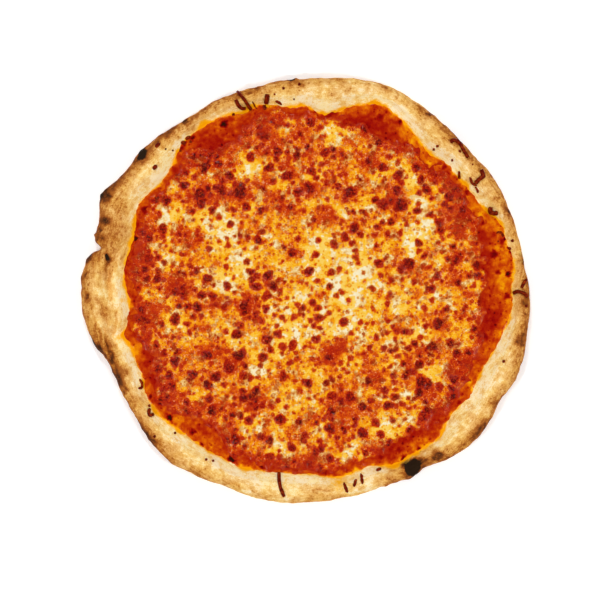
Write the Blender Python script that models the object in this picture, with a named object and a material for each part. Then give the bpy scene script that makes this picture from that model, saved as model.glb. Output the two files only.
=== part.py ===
"""A whole margherita pizza: a thin hand-stretched base with a raised uneven rim, a spread of tomato
sauce, a layer of melted cheese, and loose strands of cheese that baked onto the rim.

Sizes are in millimetres. They are scaled to metres where meshes are made. +Z is up, the flat
underside is at z = 0, and the origin is under the middle of the bounding box.
A bearing is an angle in degrees from +X, anticlockwise seen from above.
"""

import math

import bmesh
import bpy
from mathutils import Vector

MM = 0.001

# ---- driving dimensions, in millimetres ----
SEGMENTS = 108  # steps round the pizza
BASE_THICKNESS = 3.5  # dough under the sauce, in the middle
BORDER_HEIGHT = 6.6  # where the sauce ends, part of the way up the rim's inner slope
CROWN_AT_NO_WIDTH = 9.6  # the rim's height is this, and CROWN_PER_WIDTH for each mm of its width
CROWN_PER_WIDTH = 0.27
PUFFS = ((0.8, 7, 40.0), (0.6, 11, 115.0), (0.35, 19, 10.0))  # the rim's swells: height, how many, bearing of the first
FOOT_INSET = 10.0  # from the rim's outermost edge in to the flat underside
LAYER_GAP = 0.35  # free space between two layers, so that no two solids overlap

SAUCE_THICKNESS = 1.0  # under the cheese
SAUCE_PUDDLE = 1.5  # in the open ring between cheese and rim
SAUCE_LIP = 0.6  # at the sauce's outer edge

CHEESE_THICKNESS = 2.3
CHEESE_LIP = 0.8
CHEESE_WAVE = 0.35  # how far the melted surface rises and dips

STRAND_CLEARANCE = 0.5  # a strand's lowest side over the rim's surface

# ---- outlines seen from above: (bearing, radius), joined by a smooth closed curve ----
CRUST_EDGE = (
    (0, 164.1), (10, 161.6), (25, 160.9), (40, 158.2), (55, 159.2), (68, 161.9), (80, 158.2),
    (90, 154.4), (96, 155.0), (104, 153.1), (115, 154.1), (126, 153.0), (135, 156.0), (141, 158.1),
    (146, 157.4), (151, 161.6), (155, 164.8), (160, 160.0), (166, 158.5), (171.5, 159.0),
    (175, 164.8), (180, 163.5), (186, 163.2), (192, 160.6), (197, 157.0), (201, 152.2), (207, 153.2),
    (215, 154.2), (225, 158.0), (232, 159.5), (240, 157.2), (247, 155.0), (260, 156.0), (272, 155.4),
    (290, 154.0), (300, 156.4), (306, 157.2), (313, 163.4), (320, 165.8), (326, 165.3), (330, 163.5),
    (335, 165.9), (341, 167.0), (350, 165.3),
)
SAUCE_EDGE = (
    (0, 150.5), (6, 154.0), (15, 151.8), (21, 149.5), (26, 143.5), (35, 139.5), (40, 140.0),
    (47, 135.8), (55, 139.6), (62, 145.4), (69, 146.4), (76, 138.8), (84, 129.8), (90, 136.0),
    (97, 135.2), (104, 140.0), (110, 138.4), (116, 141.6), (130, 140.2), (136, 134.8), (142, 131.0),
    (150, 136.4), (154, 137.4), (160, 132.6), (175, 133.2), (185, 129.6), (190, 131.4), (194, 137.6),
    (199, 134.0), (205, 133.6), (212, 138.2), (220, 141.2), (230, 137.3), (242, 136.2), (250, 137.8),
    (256, 134.9), (272, 134.2), (281, 139.6), (289, 136.6), (297, 143.2), (305, 143.8), (313, 145.6),
    (320, 139.8), (328, 143.6), (335, 140.6), (345, 146.4), (354, 151.2),
)
CHEESE_EDGE = (
    (0, 128.0), (18, 129.0), (30, 124.0), (45, 121.0), (60, 120.0), (72, 125.0), (88, 122.0),
    (104, 124.0), (120, 118.0), (135, 121.0), (150, 123.0), (165, 120.0), (185, 119.0), (200, 117.0),
    (215, 118.0), (230, 119.0), (245, 122.0), (262, 125.0), (280, 128.0), (297, 129.0), (315, 127.0),
    (332, 127.0), (347, 131.0),
)

# ---- the folded ear on the -X side, and the burst blister on the rim ----
EAR_FROM, EAR_TO = 169.0, 199.0  # bearings
CREASE_RADIUS, CREASE_WIDTH, CREASE_DEPTH = 145.0, 4.5, 5.5
BLISTER_BEARING, BLISTER_RADIUS, BLISTER_WIDTH, BLISTER_RISE = 301.0, 149.0, 7.0, 2.5

# ---- strands of cheese on the rim: name, thickness, and route seen from above as (x, y) ----
STRANDS = (
    ("strand_top_long", 1.7, ((-49.3, 145.0), (-45.4, 140.4), (-42.0, 135.6), (-39.4, 132.4))),
    ("strand_top_hook", 2.0, ((-50.5, 138.6), (-48.6, 134.8), (-46.4, 133.0), (-43.6, 132.7))),
    ("strand_top_pod", 2.9, ((-27.6, 142.3), (-28.0, 139.6), (-28.4, 136.6))),
    ("strand_right_arc", 2.1, ((105.4, 108.1), (108.8, 109.3), (112.4, 106.9), (114.8, 102.6), (118.1, 96.9))),
    ("strand_right_barb", 2.6, ((128.1, 87.5), (129.1, 83.3), (126.3, 80.8), (124.0, 78.4))),
    ("strand_right_chip", 2.8, ((134.8, 60.2), (135.6, 56.8), (139.7, 56.3))),
    ("strand_edge_upper", 1.7, ((157.5, 2.2), (159.0, 5.3), (161.2, 8.2))),
    ("strand_edge_lower", 2.2, ((151.9, -1.7), (154.8, -0.7), (159.0, -1.9), (161.6, -4.4))),
    ("strand_bottom_long", 2.0, ((-19.2, -133.0), (-18.7, -140.2), (-16.9, -146.0), (-15.4, -149.4))),
    ("strand_left_hook", 1.8, ((-113.6, -86.2), (-114.0, -88.5), (-113.2, -90.9), (-110.9, -90.0))),
)

COLOURS = {  # base colour, roughness
    "crust": ((0.80, 0.56, 0.27), 0.75),
    "tomato_sauce": ((0.55, 0.08, 0.01), 0.25),
    "melted_cheese": ((0.85, 0.42, 0.07), 0.32),
    "strand": ((0.20, 0.025, 0.012), 0.40),
}


def clear_scene():
    for item in list(bpy.data.objects):
        bpy.data.objects.remove(item)


def bearings():
    return [360.0 * step / SEGMENTS for step in range(SEGMENTS)]


def on_outline(outline, bearing):
    """The outline's radius at a bearing: a cubic Hermite curve through its points, closed round 360 degrees."""
    count = len(outline)
    bearing %= 360.0
    here = max(i for i in range(count) if outline[i][0] <= bearing)
    knots = []
    for i in range(here - 1, here + 3):
        turn, index = divmod(i, count)
        knots.append((outline[index][0] + 360.0 * turn, outline[index][1]))
    (a0, r0), (a1, r1), (a2, r2), (a3, r3) = knots
    span = a2 - a1
    t = (bearing - a1) / span
    slope1 = (r2 - r0) / (a2 - a0) * span
    slope2 = (r3 - r1) / (a3 - a1) * span
    return (
        (2 * t**3 - 3 * t**2 + 1) * r1
        + (t**3 - 2 * t**2 + t) * slope1
        + (3 * t**2 - 2 * t**3) * r2
        + (t**3 - t**2) * slope2
    )


def bell(distance, width):
    """1 at no distance, falling smoothly towards 0 over about twice the width."""
    return math.exp(-((distance / width) ** 2))


def turned(bearing, radius):
    """(x, y) of a point at a bearing and a radius."""
    angle = math.radians(bearing)
    return radius * math.cos(angle), radius * math.sin(angle)


def ear_share(bearing):
    """1 along the folded ear, fading to 0 over a few degrees at each end."""
    fade = 4.0
    inside = min(bearing - EAR_FROM, EAR_TO - bearing)
    return min(1.0, max(0.0, inside / fade + 0.5))


def rim_relief(bearing, radius):
    """What the ear's crease takes off the rim, and what the burst blister adds to it."""
    x, y = turned(bearing, radius)
    blister_x, blister_y = turned(BLISTER_BEARING, BLISTER_RADIUS)
    crease = CREASE_DEPTH * ear_share(bearing) * bell(radius - CREASE_RADIUS, CREASE_WIDTH)
    return BLISTER_RISE * bell(math.hypot(x - blister_x, y - blister_y), BLISTER_WIDTH) - crease


def bed_rings(bearing):
    """(radius, height) on the dough's top from near the middle out to the sauce's border."""
    cheese, sauce = on_outline(CHEESE_EDGE, bearing), on_outline(SAUCE_EDGE, bearing)
    middle = (cheese + sauce) / 2
    rings = [(cheese * share, BASE_THICKNESS) for share in (0.30, 0.58, 0.80)]
    return rings + [
        (cheese * 0.93, BASE_THICKNESS + 0.2),
        (cheese, BASE_THICKNESS + 0.6),
        (middle, BASE_THICKNESS + 1.4),
        (sauce, BORDER_HEIGHT),
    ]


def crown_height(bearing):
    """The rim's height: a wide rim has risen higher, and it swells and dips all the way round."""
    width = on_outline(CRUST_EDGE, bearing) - on_outline(SAUCE_EDGE, bearing)
    swell = sum(rise * math.cos(math.radians(count * (bearing - first))) for rise, count, first in PUFFS)
    return CROWN_AT_NO_WIDTH + CROWN_PER_WIDTH * width + swell


def rim_rings(bearing):
    """(radius, height) over the rim, from just outside the sauce to the rim's outermost edge."""
    sauce, outer = on_outline(SAUCE_EDGE, bearing), on_outline(CRUST_EDGE, bearing)
    height = crown_height(bearing)
    over_the_top = ((0.18, 0.66), (0.36, 0.88), (0.58, 1.0), (0.78, 0.95), (0.93, 0.76), (1.0, 0.46))
    rings = []
    for across, up in over_the_top:
        radius = sauce + across * (outer - sauce)
        rings.append((radius, up * height + rim_relief(bearing, radius)))
    return rings


def crust_rings(bearing):
    """The crust's whole section at a bearing, from the middle of the top round to the underside."""
    outer = on_outline(CRUST_EDGE, bearing)
    height = crown_height(bearing)
    under = [
        (outer - 1.3, 0.22 * height),
        (outer - 4.8, 0.06 * height),
        (outer - FOOT_INSET, 0.0),
        (0.55 * (outer - FOOT_INSET), 0.0),
    ]
    return bed_rings(bearing) + rim_rings(bearing) + under


def sauce_tops():
    """The sauce's thickness at each of bed_rings."""
    return [SAUCE_THICKNESS] * 4 + [SAUCE_THICKNESS + 0.2, SAUCE_PUDDLE, SAUCE_LIP]


def sauce_rings(bearing):
    bed = bed_rings(bearing)
    top = [(r, z + LAYER_GAP + t) for (r, z), t in zip(bed, sauce_tops())]
    bottom = [(r, z + LAYER_GAP) for r, z in bed]
    return top + bottom[::-1]


def cheese_wave(bearing, radius):
    """The slow rise and dip of the melted surface."""
    x, y = turned(bearing, radius)
    return CHEESE_WAVE * (
        math.sin(x / 13.0 + 0.6) * math.cos(y / 11.0)
        + 0.6 * math.sin(x / 7.0 - y / 9.0 + 1.1)
    )


def cheese_rings(bearing):
    inner = sauce_rings(bearing)[:5]  # the sauce's top, as far as the cheese's edge
    thickness = [CHEESE_THICKNESS] * 4 + [CHEESE_LIP]
    top = []
    for (radius, height), thick in zip(inner, thickness):
        wave = cheese_wave(bearing, radius) if thick == CHEESE_THICKNESS else 0.0
        top.append((radius, height + LAYER_GAP + thick + wave))
    bottom = [(r, z + LAYER_GAP) for r, z in inner]
    return top + bottom[::-1]


def open_surface(x, y):
    """The height of what a strand lies on, the sauce or the rim, at a point seen from above."""
    bearing, radius = math.degrees(math.atan2(y, x)) % 360.0, math.hypot(x, y)
    section = sauce_rings(bearing)[: len(sauce_tops())] + rim_rings(bearing)
    for (r0, z0), (r1, z1) in zip(section, section[1:]):
        if r0 <= radius <= r1:
            return z0 + (z1 - z0) * (radius - r0) / (r1 - r0)
    return section[-1][1]


def resting_height(x, y, half):
    """The height of a round bar's axis where its underside and its flanks clear the surface."""
    flank = half * math.sqrt(0.5)
    touches = [open_surface(x, y) + half]
    for eighth in range(8):
        dx, dy = turned(45.0 * eighth, flank)
        touches.append(open_surface(x + dx, y + dy) + flank)
    return max(touches) + STRAND_CLEARANCE


def middle_of_outline():
    """The middle of the crust's bounding box seen from above, which the origin is put under."""
    points = [turned(b, on_outline(CRUST_EDGE, b)) for b in bearings()]
    xs, ys = zip(*points)
    return (min(xs) + max(xs)) / 2, (min(ys) + max(ys)) / 2


def material(name):
    key = name if name in COLOURS else "strand"
    made = bpy.data.materials.get(key)
    if made is None:
        colour, roughness = COLOURS[key]
        made = bpy.data.materials.new(key)
        made.use_nodes = True
        shader = made.node_tree.nodes["Principled BSDF"]
        shader.inputs["Base Color"].default_value = (*colour, 1.0)
        shader.inputs["Roughness"].default_value = roughness
        shader.inputs["Metallic"].default_value = 0.0
    return made


def finish(item, shift):
    item.location = (-shift[0] * MM, -shift[1] * MM, 0.0)
    item.data.materials.append(material(item.name))
    bpy.context.scene.collection.objects.link(item)
    return item


def round_solid(name, rings_at, top, bottom, shift):
    """One closed solid: rings_at(bearing) gives its section, and top and bottom its heights in the middle."""
    mesh = bmesh.new()
    sections = [rings_at(bearing) for bearing in bearings()]
    loops = []
    for ring in range(len(sections[0])):
        loop = []
        for bearing, section in zip(bearings(), sections):
            radius, height = section[ring]
            x, y = turned(bearing, radius)
            loop.append(mesh.verts.new(Vector((x, y, height)) * MM))
        loops.append(loop)
    centre_top = mesh.verts.new((0.0, 0.0, top * MM))
    centre_bottom = mesh.verts.new((0.0, 0.0, bottom * MM))
    for i in range(SEGMENTS):
        j = (i + 1) % SEGMENTS
        mesh.faces.new((centre_top, loops[0][i], loops[0][j]))
        for inner, outer in zip(loops, loops[1:]):
            mesh.faces.new((inner[i], outer[i], outer[j], inner[j]))
        mesh.faces.new((loops[-1][i], centre_bottom, loops[-1][j]))
    bmesh.ops.recalc_face_normals(mesh, faces=mesh.faces)
    data = bpy.data.meshes.new(name)
    mesh.to_mesh(data)
    mesh.free()
    data.shade_smooth()
    return finish(bpy.data.objects.new(name, data), shift)


def strand(name, thickness, route, shift):
    """A baked strand lying on the rim: a round bar along a smooth curve through the route's points."""
    steps = 4  # points between two of the route's own
    data = bpy.data.curves.new(name, "CURVE")
    data.dimensions = "3D"
    data.bevel_depth = thickness / 2 * MM
    data.bevel_resolution = 1
    data.use_fill_caps = True
    ends = (route[0], *route, route[-1])
    points = []
    for a, b, c, d in zip(ends, ends[1:], ends[2:], ends[3:]):
        for step in range(steps):
            points.append(catmull_rom(a, b, c, d, step / steps))
    points.append(route[-1])
    line = data.splines.new("POLY")
    line.points.add(len(points) - 1)
    for place, (x, y) in zip(line.points, points):
        place.co = (x * MM, y * MM, resting_height(x, y, thickness / 2) * MM, 1.0)
    return finish(bpy.data.objects.new(name, data), shift)


def catmull_rom(a, b, c, d, t):
    return tuple(
        0.5 * (2 * q + (r - p) * t + (2 * p - 5 * q + 4 * r - s) * t**2 + (3 * q - p - 3 * r + s) * t**3)
        for p, q, r, s in zip(a, b, c, d)
    )


def main():
    clear_scene()
    shift = middle_of_outline()
    sauce_bottom = BASE_THICKNESS + LAYER_GAP
    sauce_top = sauce_bottom + SAUCE_THICKNESS
    cheese_bottom = sauce_top + LAYER_GAP
    cheese_top = cheese_bottom + CHEESE_THICKNESS + cheese_wave(0.0, 0.0)
    round_solid("crust", crust_rings, BASE_THICKNESS, 0.0, shift)
    round_solid("tomato_sauce", sauce_rings, sauce_top, sauce_bottom, shift)
    round_solid("melted_cheese", cheese_rings, cheese_top, cheese_bottom, shift)
    for name, thickness, route in STRANDS:
        strand(name, thickness, route, shift)


main()
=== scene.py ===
# The looks of a margherita pizza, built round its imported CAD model.
# Lengths are in millimetres until a mesh is made. A bearing is an angle in degrees from +X, anticlockwise
# seen from above. Browning is a number from 0, pale, to 1, burnt.

import math

import bpy
import numpy as np
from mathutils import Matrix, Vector
from mathutils.bvhtree import BVHTree


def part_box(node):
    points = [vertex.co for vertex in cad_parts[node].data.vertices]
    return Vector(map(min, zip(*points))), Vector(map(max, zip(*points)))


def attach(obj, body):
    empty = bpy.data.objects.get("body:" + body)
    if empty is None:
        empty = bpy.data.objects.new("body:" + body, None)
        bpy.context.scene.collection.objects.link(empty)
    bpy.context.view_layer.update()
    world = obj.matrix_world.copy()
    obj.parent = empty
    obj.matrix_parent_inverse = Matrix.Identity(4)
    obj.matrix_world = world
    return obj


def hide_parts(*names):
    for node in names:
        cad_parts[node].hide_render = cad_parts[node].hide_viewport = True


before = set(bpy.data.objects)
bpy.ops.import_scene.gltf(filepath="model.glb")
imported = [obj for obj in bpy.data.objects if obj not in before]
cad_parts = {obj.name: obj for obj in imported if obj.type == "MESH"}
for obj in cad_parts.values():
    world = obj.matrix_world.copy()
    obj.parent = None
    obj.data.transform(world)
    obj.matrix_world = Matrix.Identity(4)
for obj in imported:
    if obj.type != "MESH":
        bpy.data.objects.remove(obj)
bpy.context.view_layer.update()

MM = 0.001
BODY = "root"

# ---- how the photograph's light is met ----
SKY_LIGHT, LAMP_LIGHT = 0.45, 0.21  # what a white, level surface reflects of the sky and of each lamp
LAMP_BEARINGS = (100, 215, 335)
LIGHT_LEVEL = SKY_LIGHT + LAMP_LIGHT * len(LAMP_BEARINGS)
HAZE = 0.01  # what the sheen of a wet surface adds to every colour

# ---- mesh density ----
BEARINGS = 900  # steps round the crust and the sauce
ANGLES = np.linspace(0, 2 * math.pi, BEARINGS, endpoint=False)
CHEESE_PITCH = 0.81  # between the cheese's vertices

OVERHEAD = 60  # a height that is clear of the pizza, for rays that start above or below it
# A circle about as large as the pizza. Noise for edges that wander is read on it, one place for each bearing.
EDGE_RADIUS = 150
EDGE_CIRCLE = EDGE_RADIUS * np.stack([np.cos(ANGLES), np.sin(ANGLES), np.zeros(BEARINGS)], axis=1)

STRANDS = [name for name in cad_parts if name.startswith("strand_")]


# ---- fields ----

def noise(points, size, seed):
    """Gradient noise, from about -1 to 1, at (n, 3) points. Its lumps are about `size` across."""
    rng = np.random.default_rng(seed)
    slopes = rng.normal(size=(256, 3))
    slopes /= np.linalg.norm(slopes, axis=1)[:, None]
    order = rng.permutation(256)
    place = points / size
    cell = np.floor(place).astype(np.int64)
    inside = place - cell
    fade = inside**3 * (inside * (inside * 6 - 15) + 10)
    total = np.zeros(len(points))
    for corner in np.ndindex(2, 2, 2):
        at = cell + corner
        index = order[(order[(order[at[:, 0] & 255] + at[:, 1]) & 255] + at[:, 2]) & 255]
        height = (slopes[index] * (inside - corner)).sum(axis=1)
        total += height * np.where(corner, fade, 1 - fade).prod(axis=1)
    return 1.7 * total


def layered(points, size, seed, octaves=3, fall=0.5):
    """Noise with finer noise on it, each octave half as large and `fall` times as strong."""
    total = sum(fall**i * noise(points, size / 2**i, seed + i) for i in range(octaves))
    return total / math.sqrt(sum(fall ** (2 * i) for i in range(octaves)))


def mixed(points, seed, *layers):
    """Several sizes of noise added up. A layer is (strength, size), and the seeds count up from `seed`."""
    return sum(strength * noise(points, size, seed + i) for i, (strength, size) in enumerate(layers))


def step(value, low, high):
    """0 below low, 1 above high, and smooth between them."""
    t = np.clip((value - low) / (high - low), 0, 1)
    return t * t * (3 - 2 * t)


def bell(distance, width):
    return np.exp(-((distance / width) ** 2))


def near_bearing(turn, bearing, spread):
    """1 at a bearing, falling to 0 over a few times `spread` degrees."""
    return bell((turn - bearing + 180) % 360 - 180, spread)


def patches(x, y, places):
    """Soft round patches added up, each given as x, y, radius and amount."""
    return sum(amount * bell(np.hypot(x - cx, y - cy), radius) for cx, cy, radius, amount in places)


def to_segment(x, y, start, end):
    """The distance from points to a straight line between two others, seen from above."""
    (ax, ay), (bx, by) = start, end
    length2 = (bx - ax) ** 2 + (by - ay) ** 2
    t = np.clip(((x - ax) * (bx - ax) + (y - ay) * (by - ay)) / length2, 0, 1)
    return np.hypot(x - ax - t * (bx - ax), y - ay - t * (by - ay))


def to_route(x, y, route):
    return np.min([to_segment(x, y, a, b) for a, b in zip(route, route[1:])], axis=0)


# ---- the frame, measured ----

def tree_of(node):
    return surface_tree(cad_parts[node])


def box_mm(node):
    low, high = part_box(node)
    return low / MM, high / MM


def smooth_round(values, degrees):
    """Values at BEARINGS, each averaged with its neighbours within a few degrees, closed round."""
    offset = (np.arange(BEARINGS) + BEARINGS // 2) % BEARINGS - BEARINGS // 2
    weight = bell(offset * 360 / BEARINGS, degrees)
    spectrum = np.fft.rfft(values, axis=-1) * np.fft.rfft(weight / weight.sum())
    return np.fft.irfft(spectrum, BEARINGS, axis=-1)


def outline(node, degrees=0.8):
    """How far a node reaches at each of BEARINGS: the farthest hit of level rays sent in at many heights."""
    tree = tree_of(node)
    low, high = box_mm(node)
    heights = np.linspace(low.z, high.z, 14)[1:-1]
    reach = np.zeros(BEARINGS)
    outside = 250
    for i, angle in enumerate(ANGLES):
        out = Vector((math.cos(angle), math.sin(angle), 0))
        for height in heights:
            hit = tree.ray_cast(out * outside + Vector((0, 0, height)), -out)[0]
            if hit is not None:
                reach[i] = max(reach[i], math.hypot(hit.x, hit.y))
    return smooth_round(reach, degrees)


def around(values, x, y):
    """The value at points' bearings, from values at BEARINGS."""
    turn = np.degrees(np.arctan2(y, x)) % 360 / 360 * BEARINGS
    return np.interp(turn, np.arange(BEARINGS + 1), np.append(values, values[0]))


def surface_tree(piece):
    data = piece.data
    corners = [tuple(v.co / MM) for v in data.vertices]
    return BVHTree.FromPolygons(corners, [tuple(p.vertices) for p in data.polygons])


def drop_onto(tree, x, y):
    """The height of a surface at points seen from above."""
    down = Vector((0, 0, -1))
    hits = [tree.ray_cast(Vector((px, py, OVERHEAD)), down)[0] for px, py in zip(x, y)]
    return np.array([hit.z if hit is not None else 0 for hit in hits])


# ---- meshes ----

def add_object(name, data):
    made = bpy.data.objects.new(name, data)
    bpy.context.scene.collection.objects.link(made)
    return made


def solid(name, points, faces, material, slot, nodes=(), **attributes):
    """One closed piece from points in mm, arrays of its faces' corners, and attributes of its points."""
    data = bpy.data.meshes.new(name)
    data.vertices.add(len(points))
    data.vertices.foreach_set("co", (np.asarray(points) * MM).astype(np.float32).ravel())
    sizes = np.concatenate([np.full(len(f), f.shape[1]) for f in faces])
    corners = np.concatenate([f.ravel() for f in faces])
    data.loops.add(len(corners))
    data.loops.foreach_set("vertex_index", corners.astype(np.int32))
    data.polygons.add(len(sizes))
    starts = np.concatenate([[0], np.cumsum(sizes)[:-1]])
    data.polygons.foreach_set("loop_start", starts.astype(np.int32))
    data.update(calc_edges=True)
    data.validate()
    data.shade_smooth()
    for label, values in attributes.items():
        layer = data.attributes.new(label, "FLOAT", "POINT")
        layer.data.foreach_set("value", np.asarray(values, np.float32))
    data.materials.append(material)
    piece = add_object(name, data)
    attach(piece, BODY)
    if nodes:
        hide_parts(*nodes)
    return piece


def ring_faces(rings, count):
    """Quads between rings of `count` points, and fans to a first and a last point, which come after them."""
    i = np.arange(count)
    j = (i + 1) % count
    quads = []
    for ring in range(rings - 1):
        a, b = ring * count, (ring + 1) * count
        quads.append(np.stack([a + i, b + i, b + j, a + j], axis=1))
    first, last = rings * count, rings * count + 1
    end = (rings - 1) * count
    top = np.stack([np.full(count, first), i, j], axis=1)
    bottom = np.stack([end + i, np.full(count, last), end + j], axis=1)
    return np.concatenate(quads), np.concatenate([top, bottom])


# ---- materials ----

class Look:
    """A material being made: its node tree, with short ways to add nodes."""

    def __init__(self, name, roughness, specular):
        self.material = bpy.data.materials.new(name)
        self.material.use_nodes = True
        self.tree = self.material.node_tree
        self.shader = self.tree.nodes["Principled BSDF"]
        self.set(self.shader, {"Roughness": roughness, "Specular IOR Level": specular})
        self.place = self.node("TexCoord", {}).outputs["Object"]

    def feed(self, sockets, values):
        """Link each socket to another node's output, or set it to a plain value."""
        for socket, value in zip(sockets, values):
            if isinstance(value, bpy.types.NodeSocket):
                self.tree.links.new(value, socket)
            else:
                socket.default_value = value

    def set(self, node, values):
        self.feed([node.inputs[name] for name in values], values.values())

    def node(self, kind, inputs, **settings):
        made = self.tree.nodes.new("ShaderNode" + kind)
        for name, value in settings.items():
            setattr(made, name, value)
        self.set(made, inputs)
        return made

    def attribute(self, name):
        return self.node("Attribute", {}, attribute_name=name).outputs["Fac"]

    def noise(self, size, detail=2, rough=0.5, distortion=0, place=None, output="Fac"):
        """Noise from 0 to 1 with lumps about `size` mm across."""
        inputs = {"Vector": place or self.place, "Scale": 1 / (size * MM), "Detail": detail}
        inputs |= {"Roughness": rough, "Distortion": distortion}
        return self.node("TexNoise", inputs).outputs[output]

    def grain(self, width, detail=2):
        """Noise from 0 to 1 in streaks `width` mm wide, read at the place that grain_x, _y and _z give."""
        axes = {axis: self.attribute("grain_" + axis.lower()) for axis in "XYZ"}
        return self.noise(width / MM, detail, 0.6, place=self.node("CombineXYZ", axes).outputs["Vector"])

    def threads(self, size, distortion, low, high):
        """1 along thin winding lines and 0 beside them."""
        off_line = self.math("SUBTRACT", self.noise(size, 2, 0.6, distortion), 0.5)
        return self.span(self.math("ABSOLUTE", off_line), low, high, 1, 0)

    def bubbles(self, apart, largest):
        """How far inside a round bubble a place is, in mm and below 0 outside. Each cell, `apart` mm wide,
        has one bubble. Some are too small to show."""
        sway, sway_size = 1, 1.7
        wobble = self.noise(sway_size, 1, output="Color")
        shift = self.node("VectorMath", {}, operation="MULTIPLY_ADD")
        self.feed(shift.inputs, (wobble, (sway * MM,) * 3, self.place))
        inputs = {"Vector": shift.outputs["Vector"], "Scale": 1 / (apart * MM), "Randomness": 1}
        cells = self.node("TexVoronoi", inputs, feature="F1", voronoi_dimensions="2D")
        chance = self.node("SeparateColor", {"Color": cells.outputs["Color"]}).outputs[0]
        radius = self.times(self.math("POWER", chance, 1.8), largest)
        return self.math("SUBTRACT", radius, self.times(cells.outputs["Distance"], apart))

    def math(self, operation, *values):
        made = self.node("Math", {}, operation=operation)
        self.feed(made.inputs, values)
        return made.outputs[0]

    def times(self, value, factor):
        return self.math("MULTIPLY", value, factor)

    def add(self, base, extra, share=1, middle=0):
        """base + share * (extra - middle)"""
        return self.math("ADD", base, self.times(self.math("SUBTRACT", extra, middle), share))

    def vary(self, base, share, *settings):
        """A value with noise on it, up or down by half of `share`. The settings are those of noise()."""
        return self.add(base, self.noise(*settings), share, 0.5)

    def span(self, value, low, high, to_low=0, to_high=1):
        """to_low where value is below low, to_high where it is above high, and smooth between them."""
        inputs = {"Value": value, "From Min": low, "From Max": high, "To Min": to_low, "To Max": to_high}
        return self.node("MapRange", inputs, interpolation_type="SMOOTHSTEP").outputs["Result"]

    def ramp(self, value, stops):
        """A colour from a number. Stops are (position, colour), the colour as the lit surface looks."""
        made = self.node("ValToRGB", {"Fac": value})
        points = made.color_ramp.elements
        for position, colour in stops[2:]:
            points.new(position)
        for point, (position, colour) in zip(points, stops):
            point.position = position
        for point, (position, colour) in zip(points, stops):
            point.color = (*lit(colour), 1)
        return made.outputs["Color"]

    def mix(self, share, under, over, blend="MIX"):
        """One colour over another. A plain colour is given as the lit surface looks."""
        made = self.node("Mix", {}, data_type="RGBA", blend_type=blend)
        used = [socket for socket in made.inputs if socket.enabled]
        colours = ((*lit(colour), 1) if isinstance(colour, tuple) else colour for colour in (under, over))
        self.feed(used, (share, *colours))
        return next(socket for socket in made.outputs if socket.enabled)

    def bump(self, height, depth):
        """height from 0 to 1, over `depth` mm."""
        made = self.node("Bump", {"Height": height, "Distance": depth * MM, "Strength": 1})
        self.set(self.shader, {"Normal": made.outputs["Normal"]})

    def colour(self, socket):
        self.set(self.shader, {"Base Color": socket})


def lit(colour):
    """The base colour that looks like this linear colour under LIGHT_LEVEL."""
    return tuple(min(1, max(0, c - HAZE) / LIGHT_LEVEL) for c in colour)


# Linear colours as the lit surface shows them, from pale to dark, each at its browning.
CRUST_COLOURS = (
    (0, (1.09, 0.9, 0.57)), (0.08, (1.07, 0.82, 0.44)), (0.19, (1.02, 0.7, 0.295)),
    (0.32, (0.96, 0.585, 0.198)), (0.45, (0.87, 0.48, 0.148)), (0.6, (0.76, 0.368, 0.096)),
    (0.72, (0.64, 0.266, 0.06)), (0.82, (0.5, 0.172, 0.037)), (0.9, (0.34, 0.096, 0.023)),
    (0.96, (0.16, 0.05, 0.02)), (1, (0.034, 0.022, 0.016)),
)
AMBER_COLOURS = ((0.2, (1.06, 0.63, 0.11)), (0.5, (1.05, 0.51, 0.02)), (0.9, (1, 0.38, 0.004)))
SAUCE_COLOURS = (
    (0, (0.98, 0.46, 0.012)), (0.12, (0.88, 0.29, 0.005)), (0.26, (0.74, 0.145, 0.002)),
    (0.4, (0.58, 0.065, 0.001)), (0.54, (0.45, 0.028, 0.001)), (0.68, (0.35, 0.013, 0.001)),
    (0.8, (0.23, 0.008, 0.001)), (0.9, (0.11, 0.009, 0.002)), (1, (0.035, 0.014, 0.005)),
)
# The cheese's own colours where it is dry, and then where oil has soaked it.
CREAM_COLOURS = (
    (0, (0.98, 0.86, 0.6)), (0.08, (0.92, 0.72, 0.38)), (0.17, (0.86, 0.56, 0.2)),
    (0.27, (0.79, 0.43, 0.105)), (0.38, (0.72, 0.3, 0.06)), (0.5, (0.64, 0.185, 0.036)),
    (0.62, (0.54, 0.103, 0.018)), (0.74, (0.45, 0.053, 0.009)), (0.85, (0.34, 0.024, 0.005)),
    (0.94, (0.19, 0.013, 0.004)), (1, (0.07, 0.012, 0.004)),
)
OIL_COLOURS = (
    (0, (0.98, 0.65, 0.13)), (0.08, (0.97, 0.53, 0.035)), (0.18, (0.94, 0.44, 0.006)),
    (0.28, (0.91, 0.34, 0.002)), (0.38, (0.86, 0.24, 0.001)), (0.5, (0.78, 0.15, 0.001)),
    (0.62, (0.69, 0.085, 0.001)), (0.74, (0.58, 0.046, 0.001)), (0.85, (0.47, 0.023, 0.001)),
    (0.94, (0.31, 0.012, 0.001)), (1, (0.09, 0.012, 0.003)),
)
# The pale cream of painted highlights: small glints of the wet cheese, drawn into its colour.
PAINTED_GLINT_COLOUR = (1, 0.8, 0.42)
STRAND_COLOURS = (
    (0.2, (0.06, 0.01, 0.004)), (0.42, (0.13, 0.014, 0.004)), (0.58, (0.24, 0.026, 0.004)),
    (0.75, (0.45, 0.07, 0.006)),
)
WARM_TINT = (1.09, 1.07, 0.88)  # multiplies the dough's colour in wide soft patches


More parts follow.
